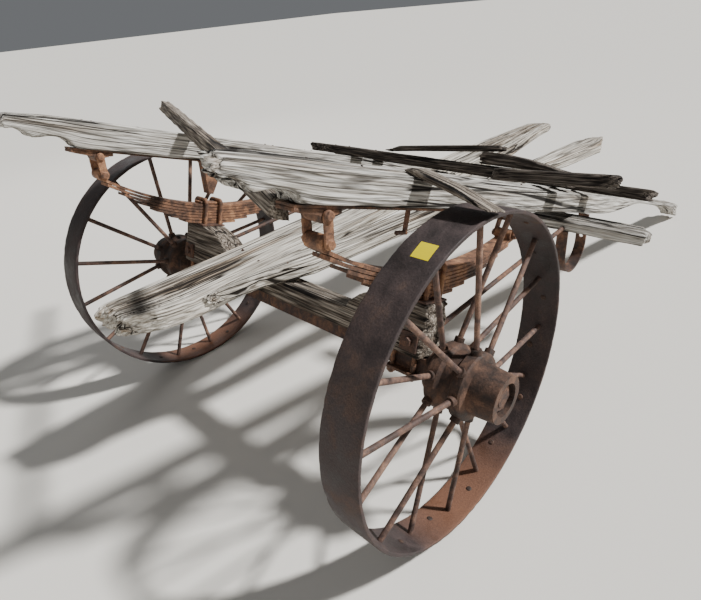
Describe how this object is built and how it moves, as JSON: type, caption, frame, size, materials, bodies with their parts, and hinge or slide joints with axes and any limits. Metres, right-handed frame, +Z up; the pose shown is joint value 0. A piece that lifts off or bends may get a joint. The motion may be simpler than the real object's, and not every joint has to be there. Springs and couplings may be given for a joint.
{
  "type": "derelict timber wagon",
  "caption": "Weathered timber cart frame on iron spoked wheels, with leaf springs and loose planks, resting tail down on its long rails.",
  "frame": {"origin": "centre of the footprint box, on the ground", "axes": "+X along the rails towards the raised nose, +Y along the axle towards the near wheel, +Z up"},
  "size_m": [3.5666, 2.1512, 1.2887],
  "materials": {
    "grey_timber": "matte",
    "dark_timber": "matte",
    "pale_timber": "matte",
    "rusted_iron": "matte",
    "spring_steel": "matte",
    "tyre_iron": "matte",
    "hub_iron": "matte"
  },
  "bodies": {
    "chassis": {"near_rail": "grey_timber", "far_rail": "grey_timber", "near_rail_strap": "rusted_iron", "far_rail_strap": "rusted_iron", "near_spring": "spring_steel", "far_spring": "spring_steel", "near_clip_bolts": "rusted_iron", "far_clip_bolts": "rusted_iron", "near_clip_plates": "rusted_iron", "far_clip_plates": "rusted_iron", "near_spring_seat": "rusted_iron", "far_spring_seat": "rusted_iron", "near_front_hanger": "rusted_iron", "far_front_hanger": "rusted_iron", "near_rear_hanger": "rusted_iron", "far_rear_hanger": "rusted_iron", "near_front_shackle": "rusted_iron", "far_front_shackle": "rusted_iron", "near_rear_shackle": "rusted_iron", "far_rear_shackle": "rusted_iron", "near_axle_nut": "rusted_iron", "far_axle_nut": "rusted_iron", "near_bed_plate": "rusted_iron", "far_bed_plate": "rusted_iron", "near_stay_rod": "rusted_iron", "far_stay_rod": "rusted_iron", "axle_bar": "rusted_iron", "axle_bed": "grey_timber", "rear_bearer": "grey_timber", "upper_bearer": "grey_timber", "cross_board": "dark_timber", "stacked_board": "dark_timber", "leaning_board": "grey_timber", "tilted_board": "dark_timber", "broken_bearer": "grey_timber", "loose_bearer": "dark_timber", "long_plank_one": "pale_timber", "long_plank_two": "pale_timber", "hook_iron": "rusted_iron", "rail_bolt": "rusted_iron", "far_bump_iron": "rusted_iron"},
    "near_wheel": {"near_tyre": "tyre_iron", "near_spokes": "rusted_iron", "near_hub": "hub_iron"},
    "far_wheel": {"far_tyre": "tyre_iron", "far_spokes": "rusted_iron", "far_hub": "hub_iron"}
  },
  "joints": [
    {"name": "near_wheel_spin", "type": "hinge", "parent": "chassis", "child": "near_wheel", "pos_m": [1.18928, 0.9076, 0.508], "axis": [0, 1, 0], "continuous": true},
    {"name": "far_wheel_spin", "type": "hinge", "parent": "chassis", "child": "far_wheel", "pos_m": [1.18928, -0.6264, 0.508], "axis": [0, 1, 0], "continuous": true}
  ]
}
